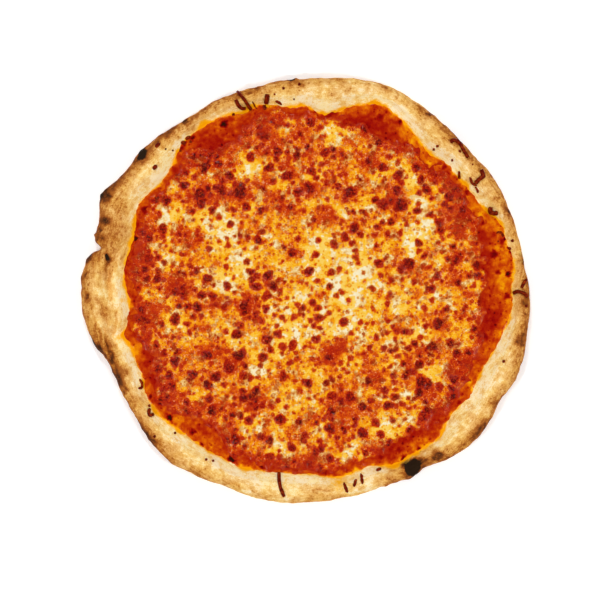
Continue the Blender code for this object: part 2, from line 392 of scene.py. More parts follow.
def crust_look():
    look = Look("baked_dough", 0.8, 0.04)
    under = look.attribute("under")
    spots = look.times(look.span(look.noise(12, 3, 0.6), 0.5, 0.72), 0.55)
    below = look.vary(look.math("ADD", spots, 0.22), 0.5, 4.5, 3, 0.6)
    above = look.attribute("browning")
    baked = look.add(above, below, under, above)
    calm = look.span(baked, 0.7, 1, 1, 0.3)
    in_view = look.span(under, 0, 0.6, 1, 0)
    streaks = look.add(look.grain(1, 3), look.grain(2.3, 2), 0.6, 0.5)
    brown = look.add(baked, streaks, look.times(calm, look.times(in_view, 0.62)), 0.5)
    brown = look.vary(brown, look.times(calm, 0.56), 3, 3, 0.7)
    brown = look.vary(brown, look.times(calm, 0.8), 0.9, 2, 0.7)
    freckle = look.times(look.span(look.bubbles(3.4, 0.9), -0.3, 0.5), look.span(baked, 0.1, 0.5, 0.3, 1))
    brown = look.add(brown, freckle, 0.22)
    brown = look.math("MINIMUM", brown, look.math("MAXIMUM", baked, 0.86))
    dough = look.ramp(brown, CRUST_COLOURS)
    dough = look.mix(look.span(look.noise(9, 2), 0.4, 0.62), dough, WARM_TINT, "MULTIPLY")
    oil = look.vary(look.attribute("oil"), 0.8, 2.2, 3, 0.6)
    amber = look.ramp(look.vary(oil, 0.5, 0.9, 2, 0.6), AMBER_COLOURS)
    look.colour(look.mix(look.span(oil, 0.1, 0.75), dough, amber))
    pores = look.add(look.times(look.noise(0.9, 3, 0.65), 0.5), look.noise(0.35, 1), 0.2)
    look.bump(look.add(pores, look.times(look.grain(1.3, 3), in_view), 0.5), 0.45)
    return look.material


def sauce_look():
    look = Look("cooked_sauce", 0.12, 0.06)
    brown = look.vary(look.attribute("browning"), 0.45, 3.5, 4, 0.65)
    brown = look.vary(brown, 0.22, 0.9, 2, 0.6)
    brown = look.add(brown, look.span(look.bubbles(4, 1), -0.2, 0.4), 0.22)
    look.colour(look.ramp(brown, SAUCE_COLOURS))
    look.bump(look.add(look.noise(1.8, 2, 0.5), look.noise(0.6), 0.2), 0.18)
    return look.material


def cheese_look():
    look = Look("melted_cheese", 0.09, 0.1)
    brown = look.attribute("browning")
    grain = look.vary(look.noise(1.5, 3, 0.7), 0.5, 4, 3, 0.6)
    brown = look.add(brown, grain, look.span(brown, 0, 0.5, 0.26, 0.5), 0.5)
    brown = look.vary(brown, look.span(brown, 0, 0.5, 0.15, 0.34), 0.7, 1)
    brown = look.add(brown, look.threads(3.2, 0.4, 0.01, 0.028), -0.2)
    domes = []
    for apart, largest, rim, heart in ((5.6, 1.9, 0.34, 0.22), (3.6, 1, 0.3, 0.2)):
        depth = look.bubbles(apart, largest)
        extra = look.vary(look.span(depth, 0.35, 0.95, rim, heart), 0.3, 0.9, 2)
        darker = look.math("MINIMUM", look.math("ADD", brown, extra), 0.8)
        more = look.math("MAXIMUM", look.math("SUBTRACT", darker, brown), 0)
        brown = look.add(brown, more, look.span(depth, -0.2, 0.15))
        domes.append(look.span(depth, -0.05, 0.75))
    oily = look.add(look.attribute("oily"), look.noise(2.6, 3, 0.6), 1.8, 0.38)
    dry, soaked = look.ramp(brown, CREAM_COLOURS), look.ramp(brown, OIL_COLOURS)
    colour = look.mix(look.span(oily, 0.42, 0.58), dry, soaked)
    # Painted highlights: pale glints along thin winding lines, mostly on half-browned places, fewer on pale
    # ones and none on the darkest.
    painted_glint = look.times(look.threads(2, 0.8, 0.012, 0.03), look.span(look.noise(1.7), 0.52, 0.6))
    painted_glint = look.times(painted_glint, look.span(brown, 0.2, 0.45, 0.15, 0.7))
    painted_glint = look.times(painted_glint, look.span(brown, 0.55, 0.75, 1, 0))
    colour = look.mix(painted_glint, colour, PAINTED_GLINT_COLOUR)
    red = look.ramp(look.math("MULTIPLY_ADD", brown, 0.34, 0.27), SAUCE_COLOURS)
    bare = look.vary(look.attribute("bare"), 0.9, 1.8, 3, 0.65)
    look.colour(look.mix(look.span(bare, 0.25, 0.75), colour, red))
    wrinkle = look.add(look.noise(1.6, 2, 0.5), look.noise(0.6), 0.3)
    look.bump(look.add(look.add(wrinkle, domes[0], 1.1), domes[1], 0.8), 0.3)
    return look.material


# ---- the crust ----

CORE_INSET, CORE_HEIGHT = 9, 6  # the middle of the rim's dough: in from its edge, and over the floor
INNER_MARGIN = 6  # how far under the sauce the fine rings begin
SLOPE_RINGS, ROUND_RINGS, UNDER_RINGS = 34, 36, 16
GRAIN_STRETCH = 5  # how much longer than wide the dough's streaks are

# The burst blister at the lower right: x, y.
BURST = (78, -128)
# Places that the oil has stained, besides the ring round the sauce: x, y, radius.
STAINS = ((24, -140, 7), (97, -106.5, 6), (-136, -35, 4), (-133, -7, 2.5), (106, 123, 5), (138, 42, 4))
# Toasted and burnt places: x, y, radius, how much browning they add.
TOASTED = (
    (-143, 70, 8, 0.35), (-148, 68, 4.5, 0.3), (-144, 50, 3.6, 0.75), (-147, 38, 3.4, 0.45),
    (-143, 23.5, 3.4, 0.75), (-138, 60, 13, 0.28), (-139, 38, 12, 0.22), (-117.5, 97.5, 4.5, 0.5),
    (-100, 113, 5, 0.15), (-84, 118, 4, 0.3), (-158, 23, 4, 0.55), (-159, 10, 5, 0.3), (-149, -8, 3, 0.4),
    (-145, -14, 3.5, 0.35), (-155, -42, 6, 0.55), (-141, -39.5, 3.2, 0.6), (-136, -60, 7, 0.45),
    (-129, -59, 3, 0.35), (-137, -70, 8, 0.3), (-122, -98, 7, 0.4), (-112, -109, 8, 0.4),
    (-118, -104, 4, 0.3), (76, -127, 5.2, 1), (72.5, -122.5, 3, 0.6), (84.5, -124.5, 2.6, 0.9),
    (97, -120, 3.4, 0.85), (124, -104, 5, 0.45), (130, -99, 5, 0.5), (138, -82, 5, 0.4),
    (155, -35, 6, 0.35), (157, -28, 5, 0.25), (147.5, 58, 3, 0.5), (93, 131, 3.5, 0.45),
    (-2, 148.5, 4, 0.5), (-9.5, 154, 3, 0.6), (15, -150, 6, 0.22), (-35, 148, 5, 0.35),
)
# Stretches of the rim that are browner or paler: bearing, spread, amount at the outer edge and further in.
TOASTED_STRETCHES = (
    (143, 13, 0.8, -0.2), (166, 8, 0.5, 0.8), (195, 18, 0.2, 0.1), (222, 10, 0.3, 0), (300, 6, 1.2, 1.4),
    (318, 8, 0.4, 0), (345, 8, 0.3, 0), (1, 8, 0.8, 0.6), (13, 6, -0.3, 0.5), (45, 8, 0.6, 0),
    (30, 7, 0.2, 0.5), (105, 6, 0, 0.7), (120, 7, 0.4, 0.1), (76, 12, -0.7, -0.3), (262, 22, -0.8, -0.4),
    (285, 8, -1, 0.2), (60, 8, -0.2, -0.4), (330, 7, -0.1, -0.3),
)
# Charred places with clear edges: x, y, half length, half width, the bearing of its length.
BURNS = (
    (78.8, -128.4, 5.8, 4.8, 30), (-118.2, 99.4, 4.3, 2.8, 78), (-144.4, 24.6, 2, 1.6, 90),
    (-149.2, 69.5, 2.6, 1.8, 60), (-159.5, 27, 3, 1.4, 40), (-157, -35.5, 5, 1.5, -62),
    (-9.8, 154.2, 2.6, 1.5, 0),
)
# Dents (+) and nibs (-) of the outer edge: bearing, spread in degrees, depth.
EDGE_DENTS = (
    (168.3, 1.1, 5.5), (171.8, 0.9, -1.2), (165.2, 0.45, -1.3), (155, 0.8, -1.2), (150, 2.5, 0.8),
    (92.5, 0.6, -1), (299, 1.2, -1.2), (304, 1.5, 1), (197, 1.2, 1.2), (203, 0.8, -0.8), (332, 1.5, 0.8),
    (22, 1.5, 0.6), (292.5, 0.8, -0.8), (236, 2, 0.6),
)
# Creases pressed into the dough: width, depth, how much browner they are drawn (painted shade in the groove),
# route.
CREASES = (
    (1.6, 1.6, 0.3, ((-144, 24), (-143, 8), (-141.5, -6))),
    (1.5, 1.6, 0.45, ((-146, -28), (-144, -36), (-142, -44), (-139, -52))),
    (1.3, 1, 0.3, ((-147.5, -16), (-144, -22), (-142, -30))),
    (1.1, 0.9, 0.28, ((-137, -16), (-138.5, -25), (-140, -33))),
    (1.2, 0.9, 0.25, ((-158, -2), (-154.5, -14), (-151, -26), (-147, -38))),
    (1.2, 0.7, 0.2, ((-153, -30), (-149, -42), (-145, -50))),
    (1.3, 0.8, 0.22, ((-151, 31), (-150, 22), (-148.5, 13))),
    (0.8, 0.7, 0.35, ((6, -145.5), (13, -145.3), (19.5, -144.6))),
)


def crust_sections():
    """Points over the CAD crust: arrays of radius and height, one row for each ring, from the top's middle
    round the edge to the underside's middle."""
    tree = tree_of("crust")
    start = SAUCE_REACH - INNER_MARGIN
    core = CRUST_REACH - CORE_INSET
    dent = mixed(EDGE_CIRCLE, 17, (0.45, 9), (0.25, 3.5))
    for bearing, spread, depth in EDGE_DENTS:
        dent += depth * near_bearing(np.degrees(ANGLES), bearing, spread)
    radii, heights = [], []

    def cast(from_radius, from_height, out, up):
        hits = []
        for r, angle in zip(from_radius, ANGLES):
            flat = Vector((math.cos(angle), math.sin(angle), 0))
            origin = flat * r + Vector((0, 0, from_height))
            hit = tree.ray_cast(origin, flat * out + Vector((0, 0, up)))[0]
            hits.append((math.hypot(hit.x, hit.y), hit.z))
        found = np.array(hits).T
        radii.append(found[0])
        heights.append(found[1])

    for share in (0.2, 0.5, 0.75, 0.9):
        cast(start * share, OVERHEAD, 0, -1)
    for share in np.linspace(0, 1, SLOPE_RINGS, endpoint=False):
        cast(start + share * (core - start), OVERHEAD, 0, -1)
    for turn in np.linspace(90, -90, ROUND_RINGS):
        lean = math.radians(turn)
        cast(core, CORE_HEIGHT, math.cos(lean), math.sin(lean))
    for share in np.linspace(1, 0.05, UNDER_RINGS)[1:]:
        cast(core * share, -OVERHEAD, 0, 1)
    radii = smooth_round(np.array(radii), 0.6)
    radii -= dent * step(radii - core, -1, CORE_INSET)
    return radii, smooth_round(np.array(heights), 1)


def surface_normals(grid):
    """Unit normals of a (rings, bearings, 3) grid of points."""
    across = np.gradient(grid, axis=0)
    along = (np.roll(grid, -1, axis=1) - np.roll(grid, 1, axis=1)) / 2
    normal = np.cross(across, along)
    return normal / np.maximum(np.linalg.norm(normal, axis=2), 1e-9)[:, :, None]


def toast_and_crease_shade(x, y):
    """Browning that TOASTED places add, and the painted shade that darkens the CREASES, seen from above."""
    total = patches(x, y, TOASTED)
    for width, depth, browning, route in CREASES:
        total += browning * bell(to_route(x, y, route), width)
    return total


def burnt_on(x, y):
    """1 inside the BURNS and 0 outside them, seen from above."""
    total = np.zeros_like(x)
    for cx, cy, length, width, bearing in BURNS:
        lean = math.radians(bearing)
        along = (x - cx) * math.cos(lean) + (y - cy) * math.sin(lean)
        across = (y - cy) * math.cos(lean) - (x - cx) * math.sin(lean)
        out = np.hypot(along / length, across / width)
        total = np.maximum(total, 1 - step(out, 0.12 * length, 1.35 - 0.03 * length))
    return total


def crust_relief(flat, on_top, on_rim, to_edge):
    """How far lumps, creases and the burst blister lift the dough off the CAD model's smooth surface."""
    x, y = flat[:, :2].T
    lift = on_rim * mixed(flat, 11, (0.75, 24), (0.4, 11), (0.22, 5), (0.1, 2.4))
    for width, depth, browning, route in CREASES:
        lift -= depth * on_top * bell(to_route(x, y, route), width)
    burst = np.hypot(x - BURST[0], y - BURST[1])
    ragged = 1 + 0.3 * noise(flat, 4, 15)
    lift += on_top * (1 * bell(burst - 5.6 * ragged, 2) - 1.2 * bell(burst, 4.4 * ragged))
    return lift + (1 - on_top) * step(to_edge, 6, 12) * 0.35 * np.abs(noise(flat, 16, 16))


def crust_browning(x, y, flat, on_top, on_rim, to_edge, from_sauce):
    """How brown each place of the dough is. The rim's places share out the whole range evenly."""
    outer = step(-to_edge, -13, -1)
    blotch = step(mixed(flat, 25, (1, 7), (0.4, 2.5)), 0.3, 0.6) * (0.25 + 0.75 * outer)
    baked = 1.05 * outer + mixed(flat, 21, (0.5, 17), (0.55, 8), (0.5, 4), (0.35, 2.2))
    baked += 0.8 * blotch - 0.6 * bell(from_sauce - 3, 5)
    turn = np.degrees(np.arctan2(y, x))
    for bearing, spread, at_edge, inside in TOASTED_STRETCHES:
        baked += near_bearing(turn, bearing, spread) * (at_edge * outer + inside * (1 - outer))
    swayed = x + 1.5 * noise(flat, 6, 41), y + 1.5 * noise(flat, 6, 42)
    burnt = burnt_on(*swayed)
    # Toasted places and burns, with painted shade along the creases.
    baked += 2.4 * on_top * (toast_and_crease_shade(*swayed) + 0.5 * burnt)
    browning = placed_among(baked, baked[(on_rim * on_top) > 0.9])
    return browning + on_top * burnt * (1.25 - browning)


def make_crust():
    radii, heights = crust_sections()
    grid = np.stack([radii * np.cos(ANGLES), radii * np.sin(ANGLES), heights], axis=2)
    normal = surface_normals(grid)
    flat = grid.reshape(-1, 3)
    x, y, z = flat.T
    to_edge = around(CRUST_REACH, x, y) - np.hypot(x, y)
    from_sauce = np.hypot(x, y) - around(SAUCE_REACH, x, y)
    on_top = step(normal[:, :, 2].ravel(), -0.35, 0.1)
    on_rim = step(from_sauce, -2, 5) * step(z, 0.6, 3)
    lift = crust_relief(flat, on_top, on_rim, to_edge)
    flat = flat + normal.reshape(-1, 3) * lift[:, None]
    flat[:, 2] = np.maximum(flat[:, 2], 0)

    spread = 0.2 + mixed(EDGE_CIRCLE, 62, (2.6, 15), (1.3, 6))
    oil = 1 - step(from_sauce - around(spread, x, y), -2.2, 2.6)
    for cx, cy, radius in STAINS:
        oil = np.maximum(oil, 0.55 * bell(np.hypot(x - cx, y - cy), radius))
    turned = np.tile(ANGLES, len(radii)) + 0.02 * noise(flat, 12, 71)
    steps = [np.diff(values, axis=0, prepend=values[:1]) for values in (radii, heights)]
    path = np.cumsum(np.hypot(*steps), axis=0)
    fields = {
        "browning": crust_browning(x, y, flat, on_top, on_rim, to_edge, from_sauce),
        "under": (1 - on_top) * step(to_edge, 3, 9),
        "oil": on_top * oil,
        "grain_x": EDGE_RADIUS / GRAIN_STRETCH * np.cos(turned),
        "grain_y": EDGE_RADIUS / GRAIN_STRETCH * np.sin(turned),
        "grain_z": path.ravel() + 2.5 * noise(flat, 16, 72),
    }
    fields = {k: np.append(v, [v[:BEARINGS].mean(), v[-BEARINGS:].mean()]) for k, v in fields.items()}
    points = np.concatenate([flat, [[0, 0, heights[0].mean()], [0, 0, 0]]])
    faces = ring_faces(len(radii), BEARINGS)
    return solid("crust_dough", points, faces, crust_look(), "baked_crust", ["crust"], **fields)


# ---- the sauce ----

# Dark spots in the bare sauce: how browned, then each one's bearing, distance in from the edge and radius.
SAUCE_SPOTS = (
    (1.04, ((4.5, 4.9, 2.2), (14.5, 2.3, 1), (116, 7, 2.4), (190.5, 13.5, 2.2), (212, 19, 2.6),
        (217.5, 7.3, 2.4), (223.2, 5, 1.9), (246.5, 3.5, 2.3), (163, 2.6, 1.4))),
    (0.9, ((69.7, 19, 3.2), (75.4, 18, 2.9), (11, 13, 2.8), (10.3, 1.2, 1.1), (12, 1.2, 1),
        (60.5, 3.3, 1.5), (126.5, 2.6, 1.5), (129.5, 1.6, 1.5), (131, 2.6, 1.1), (144.3, 8, 2.6),
        (147, 11.5, 2.1), (153.2, 6.2, 2.8), (214.4, 3, 1.3), (236, 1.5, 1), (231.5, 5.5, 2.4),
        (256.5, 4, 1.6), (300.5, 1, 2), (305.7, 1.8, 1.4), (345.5, 12.5, 2.3))),
    (0.8, ((82, 1.8, 1.6), (66.7, 10, 2.6), (5.5, 13.5, 1.6), (14, 5, 1.8), (21, 9.7, 1.5), (31.3, 3, 2),
        (39.2, 4.3, 1.2), (41.5, 4.2, 1.5), (55, 11.5, 2.5), (80.8, 1.5, 3.2), (82, 5, 2.6),
        (126, 11, 1.5), (158.5, 2.6, 2.2), (182.8, 6, 1.5), (225.7, 14, 2.1), (276, 4.5, 2),
        (294.7, 7.5, 1.9), (300.5, 8, 1.8), (324, 3, 1.2), (351.2, 12.5, 1.9), (358.5, 4.3, 2))),
    (0.7, ((86.5, 8.5, 2.6), (108.5, 15, 2.6), (72, 14, 3))),
)
# Stretches of the bare sauce that are redder (+) or more orange (-): bearing, spread, how far in from its
# edge as a share of its width, amount.
SAUCE_TINTS = (
    (5, 7, 0.35, -0.24), (20, 6, 0.3, -0.2), (16, 8, 0.85, 0.12), (38, 12, 0.6, -0.12), (55, 5, 0.3, -0.26),
    (69, 9, 0.75, 0.22), (82, 4, 0.5, 0.16), (94, 6, 0.8, 0.12), (115, 8, 0.4, -0.12), (126, 6, 0.8, 0.12),
    (151, 6, 0.4, -0.1), (167, 10, 0.4, 0.12), (190, 8, 0.4, 0.06), (204, 5, 0.4, 0.16),
    (228, 6, 0.4, -0.12), (238, 6, 0.3, -0.1), (250, 5, 0.5, 0.05), (262, 8, 0.5, 0.08),
    (276, 5, 0.4, 0.05), (303, 9, 0.7, 0.12), (306, 6, 0.25, -0.14), (325, 8, 0.6, 0.12),
    (336, 7, 0.5, -0.12), (354, 7, 0.7, 0.14), (352, 6, 0.15, -0.16),
)


def sauce_edge():
    """Where the sauce's outer edge wanders at each of BEARINGS."""
    return SAUCE_REACH + mixed(EDGE_CIRCLE, 101, (2, 17), (0.8, 5), (0.5, 2.2)) + 0.4


def sauce_browning(flat, inset, edge):
    """How browned the sauce is: orange at its oily edge, redder further in, and dark in its spots."""
    x, y = flat[:, 0], flat[:, 1]
    turn = np.degrees(np.arctan2(y, x))
    further_in = inset + mixed(flat, 119, (2.4, 12), (1.6, 4.5))
    across = further_in / np.maximum(around(edge - CHEESE_REACH, x, y), 4)
    browning = (
        0.05
        + 0.36 * step(further_in, -0.6, 2.2)
        + 0.15 * step(across, 0.15, 0.95)
        + 0.22 * layered(flat, 15, 121, 3) * step(inset, 0.5, 5)
        + 0.2 * layered(flat, 4.5, 131, 2, 0.7) * step(inset, 0.3, 2.5)
        + 0.45 * bell(turn - 167, 9) * bell(inset - 0.8, 1)
    )
    for bearing, spread, place, amount in SAUCE_TINTS:
        browning += amount * near_bearing(turn, bearing, spread) * bell(across - place, 0.35)
    browning = np.minimum(browning, 0.64)
    sway_x = mixed(flat, 141, (1.2, 5), (0.9, 2))
    sway_y = mixed(flat, 143, (1.2, 5), (0.9, 2))
    for dark, bearing, depth, radius in [(dark, *spot) for dark, spots in SAUCE_SPOTS for spot in spots]:
        lean = math.radians(bearing)
        r = np.interp(bearing / 360 * BEARINGS, np.arange(BEARINGS), edge) - depth
        distance = np.hypot(x - r * math.cos(lean) + sway_x, y - r * math.sin(lean) + sway_y)
        own = dark - 0.06 * distance
        browning += step(radius - distance, -1, 0.7) * np.maximum(own - browning, 0)
    return browning


def make_sauce(dough):
    """The sauce: a layer on the dough whose edge thins out and dips just under the dough's surface."""
    edge = sauce_edge()

    def ring(radius, over_dough):
        x, y = radius * np.cos(ANGLES), radius * np.sin(ANGLES)
        return np.stack([x, y, drop_onto(dough, x, y) + over_dough], axis=1)

    top, insets = [], []
    for share in (0.2, 0.45, 0.65, *np.linspace(0.76, 1, 62)):
        inset = edge - edge * share
        top.append(ring(edge * share, -0.35 + 0.75 * step(inset, 0, 2) + 0.65 * step(inset, 1, 9)))
        insets.append(inset)
    bottom = [ring((edge - 0.4) * share, -0.9) for share in (1, 0.8, 0.4)]
    ends = [[0, 0, top[0][:, 2].mean()], [0, 0, bottom[-1][:, 2].mean()]]
    flat, inset = np.concatenate(top), np.concatenate(insets)
    flat[:, 2] += step(inset, 2, 6) * mixed(flat, 111, (0.28, 9), (0.18, 4), (0.08, 2))
    browning = np.append(sauce_browning(flat, inset, edge), np.full(len(bottom) * BEARINGS + 2, 0.5))
    points = np.concatenate([flat, *bottom, ends])
    faces = ring_faces(len(top) + len(bottom), BEARINGS)
    look = sauce_look()
    return solid("sauce_surface", points, faces, look, "tomato_sauce", ["tomato_sauce"], browning=browning)


# ---- the cheese ----

# Where the cheese is paler (+) or browner (-) over a wide patch: x, y, radius, amount.
PATCHES = (
    (38, 14, 13, 0.8), (32, -8, 16, 0.45), (12, 32, 10, 0.6), (60, 4, 7, 0.6), (42, -30, 9, 0.5),
    (70, 94, 6, 0.7), (78, 79, 6, 0.8), (84, 63, 6, 0.8), (87, 46, 7, 0.9), (79, 35, 7, 0.7),
    (-66, 50, 11, 0.7), (-58, 38, 9, 0.5), (-45, 24, 8, 0.8), (-60, 3, 7, 0.8), (-48, 12, 7, 0.5),
    (-8, -31, 8, 0.5), (-33, -60, 7, 0.9), (-20, -111, 8, 0.4), (-98, 54, 8, 0.7), (-42, 88, 8, 0.7),
    (20, 112, 6, 0.6), (60, -102, 8, 0.6), (72, -80, 9, 0.5), (-15, -80, 12, 0.15), (83, -30, 8, 0.5),
    (72, -10, 8, 0.4), (-92, -22, 8, 0.3), (-105, 22, 7, 0.4), (94, -6, 7, 0.4), (117, 19, 5, 0.4),
    (32, -118, 7, 0.7), (92, -60, 7, 0.6), (-22, -22, 9, 0.3), (14, -30, 7, 0.3), (-58, -34, 6, 0.4),
    (-40, -10, 8, -1), (-28, 8, 6, -0.6), (-90, 0, 10, -0.35), (-84, 34, 8, -0.4), (-78, 68, 9, -0.6),
    (-47, 70, 7, -0.6), (-57, -55, 12, -0.4), (-38, -80, 8, -0.8), (-66, -86, 8, -0.5), (16, -47, 9, -0.5),
    (30, -86, 13, -0.5), (50, -62, 6, -0.6), (88, -70, 7, -0.7), (100, -25, 6, -0.7), (108, 15, 6, -0.6),
    (73, 18, 5, -0.6), (66, 66, 7, -0.8), (16, 55, 8, -0.6), (5, 72, 6, -0.6), (34, 70, 6, -0.6),
    (45, 94, 7, -0.6), (-62, 88, 22, -0.22), (0, 98, 22, -0.18), (88, -72, 18, -0.15), (-70, -30, 14, -0.1),
    (-9, 26, 5, -0.5), (-70, -45, 7, -0.5), (-28, 108, 9, -0.3), (-20, 60, 12, -0.3),
)
# Large browned blisters: radius, then their places. Smaller ones: how many, their smallest and largest
# radius, and how near they come to others, in shares of the radii.
BLISTERS = (
    (2.6, ((137, 27), (148, 13), (-59, 121), (-105, -80), (-99, -92), (-87, -89), (-53, -122), (-116, -22),
        (46, 94.5), (-103, -46), (-93, -45), (27, -1), (-2, -13), (70.5, 16), (106.5, 59.5), (115, 59),
        (99.5, 44), (-43, 21), (-40, 14), (-39, 8))),
    (4.6, ((-47, 73), (70, 62))),
    (4, ((-62, 74), (-77, 70), (33, 72), (-95, -21), (-18, -94), (42, -104), (85, -67), (3, 75), (-103, 90),
        (-56, -56), (-44, -13), (-48, -47), (57, 63), (76, 20))),
    (3.3, ((-76, 64), (-101, 66), (-104, 45), (-114, 39), (-73, 90), (-55, 84), (-43, 61), (-31, 113),
        (-20, 102), (-26, 90), (5, 87), (-13, 84), (4, 123), (15, 101), (33, 123), (44, 118), (53, 125),
        (57, 90), (81, 90), (105.5, 68.5), (98, 49.5), (68, 84), (67, 73), (89, 74), (110, 22),
        (129, -8), (97, -24), (129, -33), (93, -41), (135, -20), (111, -46), (92, 1), (-94, -1),
        (-79, -12), (-82, -61), (-68, -88), (-51, -109), (20, -77), (33, -78), (42, -85), (18, -101),
        (52, -97), (61, -84), (77, -102), (90, -68), (109, -65), (83, -75), (86, -92), (-5, 72),
        (-9, 28), (54, 20), (36, 46), (-95, -52), (-99, -62), (-45, -62), (-65, -63), (-71, -69),
        (-70, -79), (-36, -73), (-45, -79), (-72, -47), (-41, -95), (-31, -49), (-34, 37), (-27, 11),
        (-23, 3), (-28, -4), (-36, 3), (3, 14), (-50, -32), (-28, -36), (-9, -40), (28, -23), (10, -20),
        (29, 39))),
)
SMALLER_BLISTERS = ((170, 2.1, 3.2, 0.92), (330, 1.5, 2.3, 0.95), (250, 1.1, 1.5, 1.2))
SCATTER_RADIUS = 146  # the circle that they are scattered over
SAMPLED_RADIUS = 118  # the part of the cheese that its colours' shares hold for
# Smooth places where the sauce shows through: x, y, radius.
WINDOWS = (
    (110, 55, 10), (114, 44, 7), (24, -42, 7), (-62, -8, 8), (-58, -104, 8), (-70, -98, 6), (118, -54, 8),
    (108, -60, 6), (-30, 118, 9), (62, 117, 9), (44, 124, 8), (-112, -20, 8), (-116, 24, 7), (62, 10, 5),
    (95, 88, 8), (-62, 104, 10), (56, -118, 8), (96, -90, 9), (5, -125, 8), (-96, 4, 6),
)
# Where the sauce is bare nearly up to the CAD layer of cheese: bearing, half its spread.
BARE_STRETCHES = ((6, 17), (67, 11), (118, 9), (204, 5), (235, 9), (304, 9), (350, 7))


def cheese_edge():
    """Where the cheese's ragged border runs, on average, at each of BEARINGS."""
    share = 0.72 - 0.55 * sum(near_bearing(np.degrees(ANGLES), *stretch) for stretch in BARE_STRETCHES)
    room = sauce_edge() - CHEESE_REACH
    return CHEESE_REACH + np.minimum(np.maximum(share, 0.1) * room, room - 2.5)


def scattered(count, small, large, apart, placed, rng, reach):
    """More spots, each (x, y, radius), no two nearer to each other than `apart` times their radii. They crowd
    together in some parts."""
    held = {}
    box = 12

    def remember(spot):
        held.setdefault((int(spot[0] // box), int(spot[1] // box)), []).append(spot)

    for spot in placed:
        remember(spot)
    made = []
    tries = count * 10
    r, angle = SCATTER_RADIUS * np.sqrt(rng.random(tries)), rng.uniform(0, 2 * math.pi, tries)
    places = np.stack([r * np.cos(angle), r * np.sin(angle), np.zeros(tries)], axis=1)
    crowd = 0.15 + 0.85 * step(mixed(places, 271, (1, 30), (0.6, 13)), -0.35, 0.45)
    wanted = (rng.random(tries) < crowd) & (r < around(reach, *places[:, :2].T) + 2)
    for x, y in places[wanted, :2]:
        if len(made) >= count:
            break
        radius = small + (large - small) * rng.random() ** 1.6
        i, j = int(x // box), int(y // box)
        near = [s for di in (-1, 0, 1) for dj in (-1, 0, 1) for s in held.get((i + di, j + dj), ())]
        if all(math.hypot(x - s[0], y - s[1]) > apart * (radius + s[2]) for s in near):
            made.append((x, y, radius))
            remember(made[-1])
    return made


def window_of(line, x, y, reach):
    """The part of a square grid within reach of a point, as slices."""
    return tuple(slice(*np.searchsorted(line, (c - reach, c + reach))) for c in (x, y))


def spot_fields(line, reach, level):
    """Two square grids over the cheese: how much browner its spots make a place, and how high they stand."""
    rng = np.random.default_rng(7)
    placed = [(x, y, radius) for radius, places in BLISTERS for x, y in places]
    for settings in SMALLER_BLISTERS:
        placed += scattered(*settings, placed, rng, reach)
    spots = np.zeros((len(line), len(line)))
    dome = np.zeros_like(spots)
    sway = [0.5 * noise(level, 6, 251 + i) + 0.3 * noise(level, 2.5, 253 + i) for i in (0, 1)]
    sway = [values.reshape(spots.shape) for values in sway]
    for x, y, radius in placed:
        lean, long = rng.uniform(0, math.pi), rng.uniform(1, 1.35)
        wave, phase = rng.uniform(0.03, 0.12), rng.uniform(0, 2 * math.pi)
        strength = rng.uniform(0.8 if radius > 2 else 0.5, 1.15)
        near = window_of(line, x, y, 2 * radius + 2)
        dx = line[near[0], None] - x + sway[0][near]
        dy = line[None, near[1]] - y + sway[1][near]
        u = dx * math.cos(lean) + dy * math.sin(lean)
        v = dy * math.cos(lean) - dx * math.sin(lean)
        distance = np.hypot(u / long, v * 1.05) * (1 + wave * np.sin(3 * np.arctan2(v, u) + phase))
        depth = radius - distance
        own = min(0.3 + 0.45 * radius, 1.6) * step(depth, -0.6, 0.4) + 0.8 * np.maximum(depth, 0)
        spots[near] = np.maximum(spots[near], strength * own)
        bulge = 0.3 * radius * np.sqrt(np.clip(1 - (distance / radius) ** 2, 0, 1))
        dome[near] = np.maximum(dome[near], bulge)
    return spots, dome


def placed_among(values, others):
    """The share of the others that each value is above, from 0 to 1."""
    return np.interp(values, np.sort(others), np.linspace(0, 1, len(others)))


